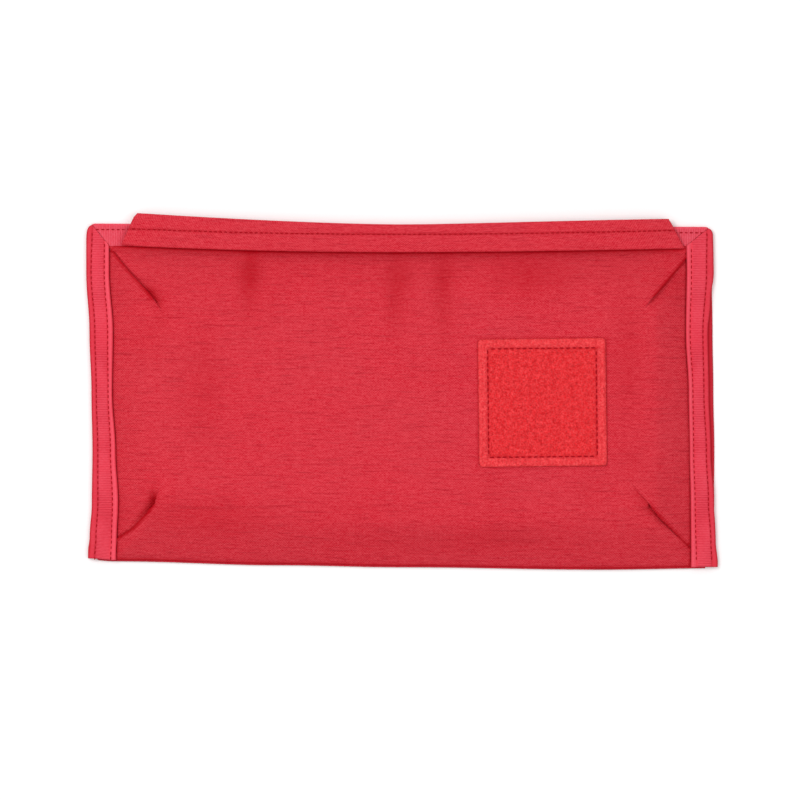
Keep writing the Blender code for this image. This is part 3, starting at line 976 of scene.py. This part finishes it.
# ---- Back panel ----
# The same cloth, flat at its sewn margins. Its middle is lifted as far as the sill of the mouth, so
# that the folded blanket slides out level.
back_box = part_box("back_panel")
# The back panel's colours are a darker, duller copy of the front cloth's: painted shade for the cloth that
# lies under the pouch.
shaded_back_cloth = woven("back_cloth", (0.50, 0.013, 0.024, 1), (0.22, 0.002, 0.008, 1),
                        (0.66, 0.05, 0.075, 1))
BACK_CUT = ((-152, -134, 10), (-134, 134, 90), (134, 152, 10))
BACK_RUN = ((-87, -72, 12), (-72, 62, 60), (62, 80.5, 14))


def back_place(a, b):
    low = BACK_RUN[0][0] * mm
    y = b if b > -60 * mm else b + (bottom_edge(a) - 0.7 * mm - low) * (-60 * mm - b) / (-60 * mm - low)
    side = between(144 * mm - abs(a), 0, 8 * mm)
    ends = between(y, -78 * mm, -70 * mm) * (1 - between(y, 62.5 * mm, 70 * mm))
    lift = back_box[1][2] - 1.5 * mm
    ripple = 0.12 * mm * noise.noise(Vector((a / (24 * mm), y / (18 * mm), 11.0))) * side * ends
    return a, y, 1.2 * mm + lift * side * ends - abs(ripple)


bm = cloth_grid(paced(*BACK_CUT), paced(*BACK_RUN), back_place)
back = wall(keep(bm, "back_cloth", shaded_back_cloth, "pouch"), CLOTH)
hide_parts("back_panel")


# ---- Mouth closure ----
# A strip of hook tape under the header and a strip of loop tape on the back panel's top tape. They
# hold the mouth shut until the header is lifted.
hook_tape = pile("hook_tape", (0.42, 0.012, 0.020, 1), (0.22, 0.003, 0.008, 1), (0.60, 0.05, 0.06, 1))
loop_tape = pile("loop_tape", (0.62, 0.016, 0.024, 1), (0.36, 0.004, 0.010, 1), (0.78, 0.06, 0.07, 1))
TUFT_PITCH = 1.5 * mm
TUFT_ROW_PITCH = 1.7 * mm
TUFT_ROWS = 5
for node, body, look, tall, side in (
    ("closure_loop_strip", "pouch", loop_tape, 0.5, 1),
    ("closure_hook_strip", "lip", hook_tape, 0.36, -1),
):
    low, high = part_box(node)
    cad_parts[node].data.materials.clear()
    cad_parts[node].data.materials.append(look)
    level = (high[2] if side > 0 else low[2]) + side * 0.02 * mm

    spots = []
    for i in range(int((high[0] - low[0] - 2 * mm) / TUFT_PITCH) + 1):
        for j in range(TUFT_ROWS):
            wander = 0.3 * mm * math.sin(7.7 * i + 3.1 * j)
            spots.append((low[0] + 1 * mm + i * TUFT_PITCH + wander, low[1] + 1 * mm + j * TUFT_ROW_PITCH))
    tuft = bmesh.new()
    for i, (a, b) in enumerate(spots):
        lean = 0.25 * math.sin(2.1 * i) if side > 0 else 0.0
        turn = Matrix.Rotation(1.9 * i if side > 0 else 0.4 * math.sin(i), 4, "Z")
        turn = turn @ Matrix.Rotation(lean, 4, "X")
        shape = Matrix.Diagonal((0.8, 0.8, side * tall, 1))
        scattered(tuft, one_loop, Matrix.Translation((a, b, level - side * 0.05 * mm)) @ turn @ shape)
    if side < 0:
        bmesh.ops.reverse_faces(tuft, faces=tuft.faces[:])
    tufts = keep(tuft, node.replace("strip", "pile"), look, body)


# ---- Folded blanket ----
# One square metre of woven glass cloth. It is folded in four across its width and then in eleven
# along its length, so the layers show at its edges.
PLIES = 4
LAYERS = 11
FLAT_SHARE = 0.9
pack_low, pack_high = Vector(pack_box[0]), Vector(pack_box[1])
layer_thick = (pack_high.z - pack_low.z) / LAYERS
ply_thick = layer_thick / PLIES
pack_middle = (pack_low.z + pack_high.z) / 2
end_radius = (pack_high.z - pack_low.z) / 2


def fold_lines(strips, flat_steps, turn_steps):
    """Cut lines of a 1 m side folded into strips. The last tenth of each strip is its turn."""
    lines = []
    for strip in range(strips):
        lines += [strip + FLAT_SHARE * i / flat_steps for i in range(flat_steps)]
        if strip < strips - 1:
            lines += [strip + FLAT_SHARE + 0.1 * i / turn_steps for i in range(turn_steps)]
    return [line / strips for line in lines + [strips - 0.1]]


def half_length(level):
    """Half the pack's length at a height: its folded ends are rounded."""
    rounded = end_radius - math.sqrt(max(end_radius ** 2 - level ** 2, 0.0))
    return (pack_high.y - pack_low.y) / 2 - 0.6 * rounded


def blanket_place(a, b):
    """a runs across the cloth's width and b along its length, both in metres."""
    a, b = a * PLIES, b * LAYERS
    ply, within = int(a + 1e-6), a - int(a + 1e-6)
    wide = pack_high.x - ply_thick
    if within <= FLAT_SHARE + 1e-6:
        x = wide * (2 * within / FLAT_SHARE - 1) * (1 if ply % 2 == 0 else -1)
        offset = (ply - 1.5) * ply_thick
    else:
        turn = (within - FLAT_SHARE) / 0.1 * math.pi
        x = (wide + 0.5 * ply_thick * math.sin(turn)) * (1 if ply % 2 == 0 else -1)
        offset = (ply - 1.5 + (1 - math.cos(turn)) / 2) * ply_thick
    layer, along = int(b + 1e-6), b - int(b + 1e-6)
    flip = 1 if layer % 2 == 0 else -1
    level = (layer - 5) * layer_thick
    middle_y = (pack_low.y + pack_high.y) / 2
    if along <= FLAT_SHARE + 1e-6:
        start = half_length(level - layer_thick / 2) - layer_thick
        stop = half_length(level + layer_thick / 2) - layer_thick
        share = along / FLAT_SHARE
        y = flip * (-start + (start + stop) * share)
        z = level + offset * flip
    else:
        turn = (along - FLAT_SHARE) / 0.1 * math.pi
        radius = layer_thick / 2 - offset * flip
        stop = half_length(level + layer_thick / 2) - layer_thick
        y = flip * (stop + radius * math.sin(turn))
        z = level + layer_thick / 2 - radius * math.cos(turn)
    sag = 0.10 * mm * noise.noise(Vector((x / (30 * mm), y / (25 * mm), z / (1.5 * mm))))
    stray_edge = 0.6 * mm * noise.noise(Vector((z / (1.2 * mm), y / (30 * mm), 2.0)))
    x += stray_edge * (abs(x) / wide) ** 8
    return x, middle_y + y, pack_middle + z * 0.985 + sag


def glass_look():
    """Satin-woven glass cloth: off-white, with a faint sheen along its yarns."""
    glass = Shader("glass_cloth")
    flat = glass.node("UVMap", {"uv_map": "flat"})
    x = glass.node("SeparateXYZ", s0=flat)
    y = Value(glass, x.socket.node.outputs[1])
    weave = (x * (math.pi / (0.9 * mm))).sine() * (y * (math.pi / (0.9 * mm))).sine()
    stretched = glass.node("Mapping", s0=flat, s3=(300, 900, 1))
    yarn = glass.node("TexNoise", s0=stretched, Scale=1.0, Detail=2.0, Roughness=0.6).clamp(0.3, 0.7)
    shade = glass.mix((0.70, 0.68, 0.60, 1), (0.90, 0.88, 0.81, 1), yarn * 0.6 + weave * 0.4)
    glass.set(Base_Color=shade, Roughness=0.5, Specular_IOR_Level=0.5)
    glass.set(Normal=glass.node("Bump", Height=weave + yarn * 0.6, Distance=0.12 * mm, Strength=1.0))
    return glass.material


bm = cloth_grid(fold_lines(PLIES, 16, 4), fold_lines(LAYERS, 10, 6), blanket_place)
blanket = wall(keep(bm, "glass_blanket", glass_look(), "blanket"), 0.2 * mm)
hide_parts("blanket")


# ---- Pull tabs ----
# Two loops of black webbing sewn to the blanket's leading edge. They hang ready in the mouth, to draw
# the blanket out by.
webbing = Shader("webbing")
flat = webbing.node("UVMap", {"uv_map": "flat"})
across = webbing.node("SeparateXYZ", s0=flat)
along = Value(webbing, across.socket.node.outputs[1])
ridges = (along * 3600.0 + (across * 1300.0).sine() * 2.0).sine()
chevron = ((across * 2600.0).sine() + ridges) * 0.25 + 0.5
black = webbing.mix((0.012, 0.012, 0.014, 1), (0.05, 0.05, 0.056, 1), chevron)
webbing.set(Base_Color=black, Roughness=0.7)
webbing.set(Normal=webbing.node("Bump", Height=chevron, Distance=0.2 * mm, Strength=1.0))

for side, node in NODE_OF_SIDE.items():
    low, high = (Vector(corner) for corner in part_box(node + "_pull_tab"))
    ply = 1.1 * mm
    bend = 0.72 * mm
    droop = math.radians(9)
    length = (high.y - low.y) / math.cos(droop) - 1.2 * mm
    root = Vector(((low.x + high.x) / 2, low.y + 0.4 * mm, high.z - 1.35 * mm))

    def tab_place(a, b):
        """b runs out along the upper ply, round the end and back along the lower one."""
        flat_part = length - bend
        if b < flat_part:
            out, up = b, bend
        elif b < flat_part + math.pi * bend:
            turn = (b - flat_part) / bend
            out, up = flat_part + bend * math.sin(turn), bend * math.cos(turn)
        else:
            out, up = 2 * flat_part + math.pi * bend - b, -bend
        up += 0.024 * mm * math.sin(6 * a / (12.5 * mm))
        return (root.x + a, root.y + out * math.cos(droop) + up * math.sin(droop),
                root.z - out * math.sin(droop) + up * math.cos(droop))

    total = 2 * (length - bend) + math.pi * bend
    rows = [total * i / 60 for i in range(61)]
    bm = cloth_grid(paced((-12.5, 12.5, 20)), rows, tab_place)
    tab = keep(bm, node + "_tab", webbing.material, "blanket")
    wall(tab, ply)
    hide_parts(node + "_pull_tab")
